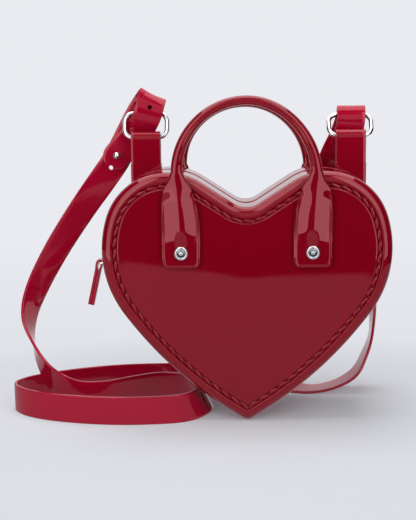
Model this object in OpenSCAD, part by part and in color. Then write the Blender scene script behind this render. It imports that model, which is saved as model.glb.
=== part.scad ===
// Heart shaped handbag: two moulded soft plastic shells that meet at a zip, two riveted handles,
// and a shoulder strap on two rings. Millimetres, Z up, the front faces -Y, the tip stands on Z = 0.

/* [Heart outline] */
// Width of the heart across both lobes
heart_w = 189.5; // [180:0.5:200]
// Height of the lobes above the tip
heart_h = 165.5; // [160:0.5:172]
// Height of the notch between the lobes
notch_z = 142.6; // [138:0.2:148]
// Radius of the notch's arc as a share of the widest that fits between the lobes
notch_share = 0.5; // [0.3:0.05:0.95]
// Radius of the outer flank of each lobe
flank_r = 72; // [68:1:76]
// Radius of the top of each lobe
shoulder_r = 41.5; // [38:0.5:44]
// Angle at which the flank arc becomes the top arc
flank_end = 18; // [14:1:24]
// Radius of the long lower sides
side_r = 264; // [230:1:300]
// Radius of the tip
tip_r = 5; // [4:0.5:8]
// Width of the small flat that the tip stands on
foot_w = 3; // [2:0.5:5]

/* [Shells] */
// Depth of the bag from front panel to back panel
bag_d = 65.6; // [56:0.2:76]
// Wall thickness of the shells
wall = 2.4; // [1.8:0.1:3]
// Gap between the shells, which the zip and the gusset close
seam_gap = 6; // [5:0.5:8]
// Width of the rounded rim bead
bead_w = 9; // [8:0.2:12]
// Depth of the stitch groove behind the bead's crest
groove_d = 1.6; // [1:0.1:3]
// Rise of the domed panel over its edge
dome_h = 1.2; // [0.4:0.1:3]

/* [Handles] */
// Radius of the handle's arch, to the middle of the grip
arch_r = 44.5; // [40:0.5:50]
// Height of the arch's centre
arch_z = 166; // [160:0.5:172]
// Thickness of the grip at the top of the arch
grip_d = 6; // [5:0.5:8]
// Thickness of the legs where they pass the rim
leg_d = 7.4; // [6:0.2:9]
// Distance of each tab and rivet from the middle
tab_x = 42.4; // [36:0.2:48]
// Width of the tabs
tab_w = 24.6; // [18:0.2:28]
// Thickness of the tabs
tab_t = 2.6; // [2:0.1:3.5]
// Height of the tabs' lower edge
tab_z = 104; // [98:1:112]
// How far the top of the arch leans in over the bag
arch_lean = 4; // [0:0.5:8]
// How much lower the back handle's arch stands
back_sag = 2; // [0:0.5:4]

/* [Rivets] */
// Height of the rivets above the tabs' lower edge
rivet_up = 10; // [8:0.5:14]
// Diameter of the rivet caps
rivet_d = 9.2; // [7:0.2:11]
// Diameter of the rivet posts
post_d = 4; // [3:0.2:5]
// Diameter of the washers inside
washer_d = 11; // [9:0.5:13]

/* [Zip] */
// Angle below the lobes' centres at which the zip ends
zip_end = 16; // [14:1:20]
// Thickness of the tapes and of the gusset
tape_t = 0.8; // [0.5:0.1:1.2]
// Width of each row of zip teeth
teeth_w = 1.7; // [1.2:0.1:2]
// Width of the gap between the rows of teeth
teeth_gap = 1.2; // [1:0.1:1.6]
// Length of the slider
slider_l = 9; // [7:0.5:11]
// Angle below the lobe's centre at which the closed slider rests
slider_a = 9; // [6:1:11]
// Length of the soft pull
pull_l = 29; // [20:1:36]
// Width of the soft pull
pull_w = 7; // [5:0.5:9]
// Thickness of the folded pull
pull_t = 4.6; // [4:0.2:5.4]
// Angle at which the pull hangs out from the bag
pull_lean = 13; // [5:1:20]

/* [Strap fittings] */
// Distance of the left ring from the middle
left_ring_x = 67.4; // [66:0.2:71]
// Distance of the right ring from the middle
right_ring_x = 71; // [67:0.2:72]
// Outer width of the rings
ring_w = 32; // [31:0.5:34]
// Outer height of the rings
ring_h = 19.8; // [19:0.2:21]
// Wire diameter of the rings
wire_d = 3.2; // [2.8:0.1:3.4]
// How far the left ring leans back
left_lean = 15; // [10:1:18]
// How far the right ring leans back
right_lean = 35; // [32:1:38]
// Width of the folded tabs that hold the rings
lug_w = 20; // [17:0.2:20.4]
// Thickness of each ply of the folded tabs
lug_t = 2; // [1.6:0.1:2.2]
// Height of the tabs' folded top
lug_top = 190.4; // [188:0.2:192]
// Width of the shoulder strap
strap_w = 19; // [17:0.5:20]
// Thickness of the shoulder strap
strap_t = 2; // [1.6:0.1:2.2]
// Diameter of the adjustment holes
hole_d = 3.2; // [2.6:0.2:4]

/* [Hidden] */
$fn = 48;
red = [0.62, 0.03, 0.12];
dark_red = [0.45, 0.02, 0.09];
chrome = [0.82, 0.83, 0.85];
clear = 0.3;                        // between a soft or moving piece and its seat
fit = 0.1;                          // round a post in its hole
eps = 0.01;                         // how far a cut runs past a face

// Centres of the outline's arcs, right half
flank_c = [heart_w / 2 - flank_r,
           heart_h - shoulder_r - (flank_r - shoulder_r) * sin(flank_end)];
shoulder_c = flank_c + (flank_r - shoulder_r) * [cos(flank_end), sin(flank_end)];
notch_drop = shoulder_c.y - notch_z;
notch_r = notch_share * (shoulder_c.x ^ 2 + notch_drop ^ 2 - shoulder_r ^ 2) / (2 * (shoulder_r + notch_drop));
notch_c = [0, notch_z + notch_r];
notch_gap = shoulder_c - notch_c;
notch_slope = asin((notch_r + shoulder_r) / norm(notch_gap)) + atan2(notch_gap.y, notch_gap.x);
foot_a = asin(foot_w / 2 / tip_r);
tip_c = [0, tip_r * cos(foot_a)];
tip_to_flank = flank_c - tip_c;
span = norm(tip_to_flank);
along = ((side_r - tip_r) ^ 2 - (side_r - flank_r) ^ 2 + span ^ 2) / (2 * span);
across = sqrt((side_r - tip_r) ^ 2 - along ^ 2);
side_c = tip_c + along * tip_to_flank / span + across * [-tip_to_flank.y, tip_to_flank.x] / span;

// Where each arc begins and ends, as angles
side_a = atan2(flank_c.y - side_c.y, flank_c.x - side_c.x);

function arc(c, r, a0, a1, n) = [for (i = [1:n]) c + r * [cos(a0 + (a1 - a0) * i / n),
                                                          sin(a0 + (a1 - a0) * i / n)]];
function least_tip(d) = max(tip_r - d, 0.6);
function tip_centre(d) =
    [0, side_c.y - sqrt((side_r - d - least_tip(d)) ^ 2 - side_c.x ^ 2)];

// The right half of the outline, drawn in by d, from the notch down to the flank angle a
function upper(d, a) = concat(
    [[0, notch_c.y - notch_r - d]],
    arc(notch_c, notch_r + d, -90, notch_slope - 90, 5),
    [shoulder_c + (shoulder_r - d) * [-sin(notch_slope), cos(notch_slope)]],
    arc(shoulder_c, shoulder_r - d, 90 + notch_slope, flank_end, 9),
    arc(flank_c, flank_r - d, flank_end, a, 12));
// The rest of it, from there down to the foot
function lower(d) = let (t = tip_centre(d), r = least_tip(d),
                         a = atan2(t.y - side_c.y, -side_c.x)) concat(
    arc(side_c, side_r - d, side_a, a, 8),
    arc(t, r, a, -90 + foot_a, 4));
// The same points on the left, in the other order, without those before the point k
function mirrored(p, k = 0) = [for (i = [len(p) - 1:-1:k]) [-p[i].x, p[i].y]];
function outline(d) = let (h = concat(upper(d, side_a), lower(d))) concat(h, mirrored(h, 1));
function zip_line(d) = let (h = upper(d, -zip_end)) concat(mirrored(h, 1), h);

// Mesh helpers: the faces between two rings of n points, and a closed skin over a list of rings
function strip(p, q, n) = [for (j = [0:n - 1]) each
    [[p + j, q + j, q + (j + 1) % n], [p + j, q + (j + 1) % n, p + (j + 1) % n]]];
module skin(rings) {
    n = len(rings[0]);
    m = len(rings);
    polyhedron([for (r = rings) each r],
               concat([for (i = [0:m - 2]) each strip(i * n, (i + 1) * n, n)],
                      [[for (j = [0:n - 1]) j]],
                      [[for (j = [n - 1:-1:0]) (m - 1) * n + j]]));
}

// Shell: each pair is how far in from the outline, and how far forward of the middle
face_y = bag_d / 2 - dome_h;
crest_y = face_y;
groove_y = crest_y - groove_d;
rim_y = crest_y - bead_w / 2;
panel_in = bead_w * 1.45;
outer_profile = [[0, seam_gap / 2], [0, rim_y * 0.55], [0, rim_y],
                 [bead_w * 0.06, rim_y + bead_w * 0.25], [bead_w * 0.22, crest_y - bead_w * 0.07],
                 [bead_w * 0.46, crest_y], [bead_w * 0.72, crest_y - bead_w * 0.07],
                 [bead_w * 0.92, groove_y + groove_d * 0.3], [bead_w, groove_y],
                 [bead_w * 1.12, groove_y + groove_d * 0.3], [bead_w * 1.26, face_y - groove_d * 0.2],
                 [panel_in, face_y]];
inner_profile = [[panel_in, face_y - wall], [bead_w * 1.12, groove_y - wall],
                 [wall * 1.8, groove_y - wall], [wall, groove_y - wall * 1.8],
                 [wall, rim_y * 0.55], [wall, seam_gap / 2]];
heart_c = [0, heart_h / 2];
dome_steps = [0.82, 0.58, 0.3];

function plane(p, y) = [for (q = p) [q.x, -y, q.y]];
function shrink(p, k) = [for (q = p) heart_c + k * (q - heart_c)];
function dome(k) = dome_h * (1 - k * k);
module shell_solid() {
    edge = outline(panel_in);
    outer = concat([for (q = outer_profile) plane(outline(q[0]), q[1])],
                   [for (k = dome_steps) plane(shrink(edge, k), face_y + dome(k))]);
    inner = concat([for (i = [len(dome_steps) - 1:-1:0])
                        plane(shrink(edge, dome_steps[i]), face_y - wall + dome(dome_steps[i]))],
                   [for (q = inner_profile) plane(outline(q[0]), q[1])]);
    n = len(edge);
    a = len(outer);
    b = len(inner);
    rings = concat(outer, inner);
    cap_out = len(rings) * n;
    points = concat([for (r = rings) each r],
                    [[0, -(face_y + dome_h), heart_c.y], [0, -(face_y - wall + dome_h), heart_c.y]]);
    sides = concat([for (i = [0:a - 2]) each strip((i + 1) * n, i * n, n)],
                   [for (i = [a:a + b - 2]) each strip((i + 1) * n, i * n, n)],
                   strip(0, (a + b - 1) * n, n),
                   [for (j = [0:n - 1]) [(a - 1) * n + j, (a - 1) * n + (j + 1) % n, cap_out]],
                   [for (j = [0:n - 1]) [a * n + j, cap_out + 1, a * n + (j + 1) % n]]);
    polyhedron(points, sides);
}
module at_rivets() for (s = [-1, 1]) translate([s * tab_x, 0, tab_z + rivet_up]) rotate([90, 0, 0])
    children();
module half_shell() difference() {
    shell_solid();
    at_rivets() cylinder(d = post_d + 2 * fit, h = bag_d);
}

module front_shell() color(red) half_shell();
module back_shell() color(red) difference() {
    mirror([0, 1, 0]) half_shell();
    for (x = [-left_ring_x, right_ring_x]) translate([x - lug_w / 2 - clear, lug_y - clear, lug_foot])
        cube([lug_w + 2 * clear, lug_d + 2 * clear, lug_top - lug_foot]);
}

// Handle: sections along the path, each given as centre, direction across, half width and depth
tab_back = bag_d / 2 + clear;
tab_rows = [[0, 0.72], [1, 0.88], [3.2, 0.98], [6, 1], [rivet_up, 1], [18, 1], [26, 1], [33, 0.99],
            [38, 0.96], [43, 0.9], [48, 0.81], [52, 0.69], [55, 0.56], [58, 0.43], [61.5, 0.33]];
arch_n = 22;
function ease(t) = let (u = min(max(t, 0), 1)) u * u * (3 - 2 * u);
function signed_pow(v, e) = sign(v) * abs(v) ^ e;
// One closed section of 16 points: a is the half width, b the half depth, e squares it off,
// ridge raises the middle of its front
function section(a, b, e, ridge) = [for (i = [0:15]) let (q = -i * 22.5,
    u = signed_pow(cos(q), e), v = signed_pow(sin(q), e))
    [a * u, b * v + (v > 0 ? ridge * exp(-((a * u / (leg_d * 0.42)) ^ 2)) : 0)]];
function tab_section(row) = let (z = tab_z + row[0], f = ease((row[0] - 30) / 28),
        a = max(tab_w / 2 * row[1], leg_d / 2), b = (tab_t + (leg_d - tab_t) * f) / 2,
        x = tab_x + (arch_r - tab_x) * ease((row[0] - 20) / 44))
    [for (q = section(a, b, 0.34 + 0.66 * f, (leg_d - tab_t) * (1 - f) * ease((row[0] - 16) / 26)))
        [x + q.x, -(tab_back + b + q.y), z]];
function lean(z) = arch_lean * ease((z - arch_z) / arch_r);
function arch_section(a, sag) = let (k = sin(a), d = leg_d + (grip_d - leg_d) * k)
    [for (q = section(d / 2, leg_d / 2, 1, 0))
        [(arch_r + q.x) * cos(a), -(tab_back + leg_d / 2 + q.y) + lean(arch_z + arch_r * k),
         arch_z + (arch_r + q.x - sag) * k]];
function flip(r) = [for (p = r) [-p.x, p.y, p.z]];
module handle(sag) difference() {
    right = [for (row = tab_rows) tab_section(row)];
    skin(concat(right, [for (i = [0:arch_n]) arch_section(180 * i / arch_n, sag)],
                [for (i = [len(right) - 1:-1:0]) flip(right[i])]));
    at_rivets() cylinder(d = post_d + 2 * fit, h = bag_d);
}
module front_handle() color(red) handle(0);
module back_handle() color(red) mirror([0, 1, 0]) handle(back_sag);

// Rivets: a dished cap over the tab, a post through tab and shell, a flared end over the washer
cap_y = tab_back + tab_t + 0.1;
cap_h = 1.8;
washer_t = 1;
inside_y = tab_back - clear - dome_h - wall - washer_t - 0.4;
module rivet() rotate_extrude() polygon([
    [0, inside_y - 1], [post_d * 0.72, inside_y - 1], [post_d * 0.72, inside_y - 0.1],
    [post_d / 2, inside_y - 0.1], [post_d / 2, cap_y], [rivet_d / 2, cap_y],
    [rivet_d / 2, cap_y + cap_h * 0.45], [rivet_d * 0.43, cap_y + cap_h * 0.9],
    [rivet_d * 0.38, cap_y + cap_h], [rivet_d * 0.31, cap_y + cap_h * 0.9],
    [rivet_d * 0.27, cap_y + cap_h * 0.45], [rivet_d * 0.15, cap_y + cap_h * 0.4],
    [rivet_d * 0.11, cap_y + cap_h * 0.8], [0, cap_y + cap_h * 0.95]]);
module washer() difference() {
    translate([0, 0, inside_y]) cylinder(d = washer_d, h = washer_t);
    cylinder(d = post_d + 2 * fit, h = bag_d);
}
module front_rivets() color(chrome) at_rivets() rivet();
module back_rivets() color(chrome) mirror([0, 1, 0]) at_rivets() rivet();
module front_washers() color(chrome) at_rivets() washer();
module back_washers() color(chrome) mirror([0, 1, 0]) at_rivets() washer();

// Zip: tapes inside the shells' edges, rows of teeth on them, stops at both ends
tape_in = wall + clear;
teeth_in = tape_in - 1.1;
teeth_y = teeth_gap / 2;
tape_y = teeth_y + teeth_w + 0.1;
tape_reach = 4.2;
module band(line0, line1, y0, y1) skin([for (i = [0:len(line0) - 1])
    [[line0[i].x, -y0, line0[i].y], [line0[i].x, -y1, line0[i].y],
     [line1[i].x, -y1, line1[i].y], [line1[i].x, -y0, line1[i].y]]]);
module tape() band(zip_line(tape_in), zip_line(tape_in + tape_t), tape_y, tape_y + tape_reach);
module teeth() band(zip_line(teeth_in), zip_line(teeth_in + teeth_w * 1.3), teeth_y, teeth_y + teeth_w);
module front_zip_tape() color(dark_red) tape();
module back_zip_tape() color(dark_red) mirror([0, 1, 0]) tape();
module front_zip_teeth() color(dark_red) teeth();
module back_zip_teeth() color(dark_red) mirror([0, 1, 0]) teeth();
stop_l = 2;
module at_flank(side, a, r) translate([side * flank_c.x, 0, flank_c.y]) rotate([0, -side * a, 0])
    translate([side * r, 0, 0]) children();
module zip_stops() color(chrome) for (s = [-1, 1])
    at_flank(s, -zip_end - 2.2, flank_r - teeth_in - teeth_w)
        cube([teeth_w * 1.6, 2 * tape_y, stop_l], center = true);

// Gusset: the soft web that closes the seam below the zip, and the moulded link at the tip
gusset_reach = 8;
gusset_in = wall + 2 * clear;
function gusset_half(d) = concat([flank_c + (flank_r - d) * [cos(zip_end + 5), -sin(zip_end + 5)]],
                                 lower(d));
function gusset_line(d) = let (h = gusset_half(d)) concat(h, mirrored(h));
module lower_gusset() color(dark_red)
    band(gusset_line(gusset_in), gusset_line(gusset_in + tape_t), -gusset_reach, gusset_reach);
hinge_up = 9;
module tip_hinge() color(red) translate([0, seam_gap / 2 - clear, 0]) rotate([90, 0, 0])
    linear_extrude(seam_gap - 2 * clear) difference() {
        polygon(outline(0));
        polygon(outline(wall));
        translate([-heart_w, hinge_up]) square(2 * heart_w);
    }

// Slider: plates over and under the teeth, joined by a thin post between the rows
slider_y = seam_gap / 2 - clear;
plate_t = 1.1;
slider_clear = 0.5;
over_in = teeth_in - slider_clear - plate_t;
under_in = teeth_in + teeth_w * 1.3 + slider_clear;
crown_h = 3;
bail_d = 1.4;
bail_out = 3;
bail_bend = 1;
module zip_slider() color(chrome) at_flank(-1, -slider_a, flank_r) union() {
    translate([over_in, -slider_y, -slider_l / 2]) cube([plate_t, 2 * slider_y, slider_l]);
    translate([under_in, -slider_y, -slider_l / 2]) cube([plate_t, 2 * slider_y, slider_l]);
    translate([over_in + eps, -teeth_gap / 2 + clear, -slider_l / 4])
        cube([under_in - over_in, teeth_gap - 2 * clear, slider_l / 2]);
    difference() {
        translate([over_in - crown_h, -slider_y * 0.4, -slider_l * 0.32])
            cube([crown_h + eps, slider_y * 0.8, slider_l * 0.64]);
        translate([over_in - crown_h / 2, 0, 0]) rotate([90, 0, 0])
            cylinder(d = bail_d + 2 * clear, h = seam_gap, center = true);
    }
}
// Bail: a wire loop through the slider's crown; the pull is folded round its outer bar
bail_w = pull_w + 2 * (bail_bend + clear);
bail_in = over_in - crown_h / 2;
bail_bar = bail_in - bail_out - bail_d;
// A loop of round wire that stands on its lower bar: half its width and its height to the wire's middle
module loop(a, b, r, d) union() {
    for (z = [0, b]) translate([0, 0, z]) rotate([0, 90, 0]) cylinder(d = d, h = 2 * (a - r), center = true);
    for (s = [-1, 1]) translate([s * a, 0, b / 2]) cylinder(d = d, h = b - 2 * r, center = true);
    for (s = [0, 1], t = [0, 1]) mirror([s, 0, 0]) translate([a - r, 0, b / 2]) mirror([0, 0, t])
        translate([0, 0, b / 2 - r]) rotate([90, 0, 0]) rotate_extrude(angle = 90)
            translate([r, 0]) circle(d = d);
}
module zip_bail() color(chrome) at_flank(-1, -slider_a, flank_r) translate([bail_in, 0, 0])
    rotate([0, -90, 0]) rotate([0, 0, 90]) loop(bail_w / 2, bail_in - bail_bar, bail_bend, bail_d);
bar_r = flank_r - bail_bar;
pull_pivot = [-flank_c.x - bar_r * cos(slider_a), flank_c.y - bar_r * sin(slider_a)];
eye_d = bail_d + 2 * clear;
module zip_pull() color(red) translate([pull_pivot.x, pull_w / 2, pull_pivot.y])
    rotate([90, 0, 0]) linear_extrude(pull_w) rotate(-pull_lean) difference() {
        union() {
            circle(d = pull_t);
            translate([-pull_t / 2, -pull_l + pull_t / 2]) square([pull_t, pull_l - pull_t / 2]);
        }
        circle(d = eye_d);
    }

// Lugs: a strip folded over the ring's lower bar, both ends held inside the back shell by a pin
ring_clear = 0.55;
lug_gap = wire_d + 2 * ring_clear;
lug_d = lug_gap + 2 * lug_t;
lug_y = tape_y + tape_reach + clear;
lug_mid = lug_y + lug_d / 2;
bar_z = lug_top - lug_d / 2;
lug_foot = 138;
pin_d = 3;
pin_z = lug_foot + 5;
module lug(x) translate([x + lug_w / 2, lug_mid, 0]) rotate([0, -90, 0]) difference() {
    linear_extrude(lug_w) difference() {
        union() {
            translate([bar_z, 0]) circle(d = lug_d);
            translate([lug_foot, -lug_d / 2]) square([bar_z - lug_foot, lug_d]);
        }
        translate([bar_z, 0]) circle(d = lug_gap);
        translate([lug_foot - eps, -lug_gap / 2]) square([bar_z - lug_foot, lug_gap]);
    }
    translate([pin_z, lug_d, lug_w / 2]) rotate([90, 0, 0]) cylinder(d = pin_d + 2 * fit, h = 2 * lug_d);
}
module lug_pin(x) translate([x, lug_mid, pin_z]) rotate([90, 0, 0]) union() {
    cylinder(d = pin_d, h = lug_d + 2 * clear, center = true);
    cylinder(d = 2 * pin_d, h = lug_gap - 2 * clear, center = true);
    for (s = [-1, 1]) translate([0, 0, s * (lug_d / 2 + clear + 0.5)])
        cylinder(d = 2.4 * pin_d, h = 1, center = true);
}
module left_lug() color(red) lug(-left_ring_x);
module right_lug() color(red) lug(right_ring_x);
module left_lug_pin() color(chrome) lug_pin(-left_ring_x);
module right_lug_pin() color(chrome) lug_pin(right_ring_x);

// Rings: each stands on its lower bar, inside the fold of its lug
bend_r = 6;
module ring(x, tilt) translate([x, lug_mid, bar_z]) rotate([-tilt, 0, 0])
    loop((ring_w - wire_d) / 2, ring_h - wire_d, bend_r, wire_d);
module left_ring() color(chrome) ring(-left_ring_x, left_lean);
module right_ring() color(chrome) ring(right_ring_x, right_lean);

// Shoulder strap: the middle of the strap and the direction of its width. The points of its ends
// are given from the rings' lower bars: the left tail over the left ring, the run down to the
// ground, round the loop there and up behind the bag, then the right ring and tail
left_tail = [
    [[-26.6, 6.1, -20], [0.78, 0, -0.62]],
    [[-20.2, 6.1, -12.1], [0.78, 0, -0.62]],
    [[-12.6, 6.2, -3.6], [0.82, 0, -0.57]],
    [[-6, 5.6, 3.6], [0.93, 0, -0.36]],
    [[-2.2, 2.9, 8.4], [0.97, 0, -0.2]],
    [[0, 0.1, 12], [0.96, 0, -0.26]],
    [[2.2, -1.1, 17], [0.95, 0, -0.32]],
    [[4, -0.5, 23.4], [0.92, 0, -0.4]],
    [[4.8, 3.7, 27.8], [0.9, 0, -0.44]],
    [[1, 8.1, 23.6], [0.88, 0, -0.47]],
    [[-5, 8.9, 14.6], [0.86, 0, -0.51]],
    [[-10.4, 8.9, 4.8], [0.84, 0, -0.54]],
    [[-15.8, 8.9, -5.4], [0.83, 0, -0.56]],
    [[-21.8, 8.9, -16], [0.81, 0, -0.58]],
    [[-29.5, 8.9, -26.8], [0.8, 0.06, -0.6]]];
ground_run = [
    [[-112.7, 19.6, 138], [0.76, 0.35, -0.53]],
    [[-130.7, 18, 111], [0.72, 0.5, -0.42]],
    [[-145.4, 15, 84], [0.66, 0.68, -0.28]],
    [[-151.5, 10, 64], [0.38, 0.91, -0.18]],
    [[-149, 6.5, 45], [-0.14, 0.95, -0.26]],
    [[-141, 2.5, 27.5], [-0.42, 0.74, -0.52]],
    [[-130, -0.5, 16], [-0.3, 0.3, -0.9]],
    [[-116, -2.5, 10.2], [-0.05, 0.04, -1]],
    [[-98, -0.5, 9.5], [0, 0, -1]],
    [[-80, 11, 9.5], [0, 0, -1]],
    [[-62, 20, 9.5], [0, 0, -1]],
    [[-41.5, 15.5, 9.4], [0.2, 0, -0.98]],
    [[-29, -2, 8.6], [0.5, 0.03, -0.86]],
    [[-33, -21, 9.2], [0.3, -0.12, -0.95]],
    [[-44, -33, 9.5], [0.03, -0.05, -1]],
    [[-65, -37.5, 9.5], [0, 0, -1]],
    [[-88, -38, 9.5], [0, 0, -1]],
    [[-112, -34.5, 9.5], [0, 0, -1]],
    [[-136, -27, 9.5], [0, 0, -1]],
    [[-153, -16, 9.5], [0, 0, -1]],
    [[-160.5, -2, 9.5], [0, 0, -1]],
    [[-153, 12, 9.5], [0, 0, -1]],
    [[-137, 23.5, 9.5], [0, 0, -1]],
    [[-117, 33, 9.5], [0, 0, -1]],
    [[-95, 40, 9.5], [0, 0, -1]],
    [[-72, 42, 9.6], [0, -0.16, -0.99]],
    [[-48, 43, 9.3], [0, -0.4, -0.92]],
    [[-24, 45, 8.3], [0, -0.62, -0.79]],
    [[2, 46, 6.2], [0, -0.84, -0.54]],
    [[25, 41, 3.2], [0, -0.97, -0.22]],
    [[45, 36, 1.2], [0, -1, 0]],
    [[63, 37, 3.8], [0, -1, 0.03]],
    [[78, 39, 11.6], [0.03, -1, 0]],
    [[86, 42, 24], [0, -1, 0]],
    [[92, 45, 43], [-0.05, -0.99, 0]],
    [[91, 48, 72], [0.25, -0.96, 0]],
    [[81, 49, 103], [0.75, -0.65, 0.1]],
    [[69, 47.5, 132], [0.95, -0.3, 0]],
    [[61, 43.5, 152], [0.98, 0, -0.2]]];
right_tail = [
    [[-11, 26.5, -21.8], [0.97, 0, -0.25]],
    [[-9.4, 21.5, -15.4], [0.97, 0, -0.26]],
    [[-7.4, 17.5, -9.8], [0.97, 0, -0.25]],
    [[-4.8, 14.5, -3.8], [0.98, 0, -0.2]],
    [[-1.8, 13.3, 3.6], [0.99, 0, -0.15]],
    [[0.7, 13.8, 11.6], [1, 0, -0.06]],
    [[1.1, 9.5, 18.8], [1, 0, 0]],
    [[0.9, 4.9, 12.6], [1, 0, 0]],
    [[0.1, 5.7, 5.2], [1, 0, -0.1]],
    [[-1.5, 9.1, -1.4], [1, 0, -0.1]],
    [[-2.7, 12.5, -7], [1, 0, -0.08]],
    [[-3.9, 16.1, -12.6], [1, 0, -0.08]]];
function from_ring(x, points) = [for (p = points) [p[0] + [x, lug_mid, bar_z], p[1]]];
strap_route = concat(from_ring(-left_ring_x, left_tail), ground_run, from_ring(right_ring_x, right_tail));
left_joint = len(left_tail) - 1;
meeting = 43;
right_joint = len(left_tail) + len(ground_run);
function smooth(p, i, t) = let (n = len(p) - 1, a = p[max(i - 1, 0)], b = p[i], c = p[min(i + 1, n)],
                                d = p[min(i + 2, n)])
    b + (c - a) * t / 2 + (2 * a - 5 * b + 4 * c - d) * t * t / 2
      + (3 * b - a - 3 * c + d) * t ^ 3 / 2;
route_mid = [for (r = strap_route) r[0]];
route_wide = [for (r = strap_route) r[1]];
steps = 2;
last_ring = steps * (len(strap_route) - 1);
mids = [for (k = [0:last_ring]) smooth(route_mid, floor(k / steps), (k % steps) / steps)];
wides = [for (k = [0:last_ring]) smooth(route_wide, floor(k / steps), (k % steps) / steps)];
function unit(v) = v / norm(v);
corner = 0.5;
cut_gap = 0.02;                     // between the parts that the one strap is cut into
function strap_ring(k, on) = let (
        t = unit(mids[min(k + 1, last_ring)] - mids[max(k - 1, 0)]),
        w = unit(wides[k] - t * (t * wides[k])), u = cross(t, w),
        a = strap_w / 2, b = strap_t / 2)
    [for (q = [[a, b - corner], [a - corner, b], [corner - a, b], [-a, b - corner],
               [-a, corner - b], [corner - a, -b], [a - corner, -b], [a, corner - b]])
        mids[k] + on * t + q.x * w + q.y * u];
module strap(from, to) skin([for (k = [steps * from:steps * to])
    strap_ring(k, k == steps * from ? cut_gap : 0)]);

// Studs: a ball head on a neck in front of the tail, a flat screw behind the strap
stud_head = 5;
stud_neck = 2.6;
screw_d = 7;
left_stud_ring = steps;
right_stud_ring = last_ring - steps;
left_reach = [0, 2.8, 0];
right_reach = [0, 3.5, 1.7];
module along_axis(at, way) translate(at) rotate([0, 0, atan2(way.y, way.x)])
    rotate([0, acos(way.z / norm(way)), 0]) children();
module stud(k, reach) along_axis(mids[k], reach) union() {
    translate([0, 0, -strap_t / 2 - stud_head * 0.75]) sphere(d = stud_head);
    translate([0, 0, -strap_t / 2 - stud_head * 0.5])
        cylinder(d = stud_neck, h = norm(reach) + strap_t + stud_head * 0.5 + clear);
    translate([0, 0, norm(reach) + strap_t / 2 + clear]) cylinder(d = screw_d, h = 1.2);
    translate([0, 0, -strap_t / 2 - clear - 0.6]) cylinder(d = stud_neck * 1.7, h = 0.6);
}
module stud_hole(k, reach) along_axis(mids[k], reach)
    cylinder(d = stud_neck + 2 * fit, h = 4 * norm(reach), center = true);
module hole(k) along_axis(mids[k], [0, 1, 0]) cylinder(d = hole_d, h = 3 * strap_t, center = true);
module left_strap_end() color(red) difference() {
    strap(0, left_joint);
    stud_hole(left_stud_ring, left_reach);
    for (k = [13, 27]) hole(k);
}
module right_strap_end() color(red) difference() {
    strap(right_joint, len(strap_route) - 1);
    stud_hole(right_stud_ring, right_reach);
}
module left_stud() color(chrome) stud(left_stud_ring, left_reach);
module right_stud() color(chrome) stud(right_stud_ring, right_reach);
module strap_left_run() color(red) strap(left_joint, meeting);
module strap_right_run() color(red) strap(meeting, right_joint);

front_shell();
front_handle();
front_rivets();
front_washers();
front_zip_tape();
front_zip_teeth();
back_shell();
back_handle();
back_rivets();
back_washers();
back_zip_tape();
back_zip_teeth();
zip_stops();
lower_gusset();
tip_hinge();
zip_slider();
zip_bail();
zip_pull();
left_lug();
right_lug();
left_lug_pin();
right_lug_pin();
left_ring();
right_ring();
left_strap_end();
right_strap_end();
left_stud();
right_stud();
strap_left_run();
strap_right_run();
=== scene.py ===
# Heart shaped handbag of glossy red plastic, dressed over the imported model. Sizes are millimetres
# until a piece is made, then metres. The front faces -Y and the tip stands on Z = 0.
import math

import bpy
import numpy as np
from mathutils import Matrix, Vector


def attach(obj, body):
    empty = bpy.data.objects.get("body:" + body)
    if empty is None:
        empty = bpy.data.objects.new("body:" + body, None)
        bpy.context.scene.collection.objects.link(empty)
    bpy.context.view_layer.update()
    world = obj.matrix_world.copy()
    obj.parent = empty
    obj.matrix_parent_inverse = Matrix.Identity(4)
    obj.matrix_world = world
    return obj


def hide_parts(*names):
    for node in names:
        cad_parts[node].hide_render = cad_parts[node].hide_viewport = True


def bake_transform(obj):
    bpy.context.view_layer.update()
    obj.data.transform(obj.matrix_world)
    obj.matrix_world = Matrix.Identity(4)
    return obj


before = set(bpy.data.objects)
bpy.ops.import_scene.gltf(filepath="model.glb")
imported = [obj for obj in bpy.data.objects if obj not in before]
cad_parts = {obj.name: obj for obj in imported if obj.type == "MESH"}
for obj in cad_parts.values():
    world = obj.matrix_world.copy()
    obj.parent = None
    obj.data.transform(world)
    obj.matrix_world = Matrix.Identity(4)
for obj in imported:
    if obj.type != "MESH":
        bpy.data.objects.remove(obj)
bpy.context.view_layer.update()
scene = bpy.context.scene
millimetre = 0.001

# values that several pieces share
heart = dict(width=189.5, height=165.5, notchZ=142.6, notchShare=0.5, flankRadius=72, shoulderRadius=41.5,
             flankEnd=18, sideRadius=264, tipRadius=5, footWidth=3)
bag = dict(depth=65.6, wall=2.4, seamGap=6, domeRise=1.2, clear=0.3)
faceY = bag["depth"] / 2 - bag["domeRise"]
handleBack = bag["depth"] / 2 + bag["clear"]


def ease(t):                      # 0 to 1 with flat ends
    u = np.clip(t, 0, 1)
    return u * u * (3 - 2 * u)


def unit(v):
    return v / np.maximum(np.linalg.norm(v, axis=-1, keepdims=True), 1e-12)


def quarterRise(t, least=0):      # 0 to 1 as a quarter circle rises
    return np.sqrt(np.clip(1 - (1 - np.clip(t, 0, 1)) ** 2, least, 1))


def fullTurn(count):              # even angles round a circle
    return np.linspace(0, 2 * math.pi, count, endpoint=False)


def cosSin(degrees):
    return math.cos(math.radians(degrees)), math.sin(math.radians(degrees))


def quarterTurned(ahead):         # a flat line's headings turned to its left
    return np.stack([-ahead[:, 1], ahead[:, 0]], 1)


def squared(v, power):            # a sine or cosine bent so that its circle turns squarer
    return np.sign(v) * np.abs(v) ** power


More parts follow.
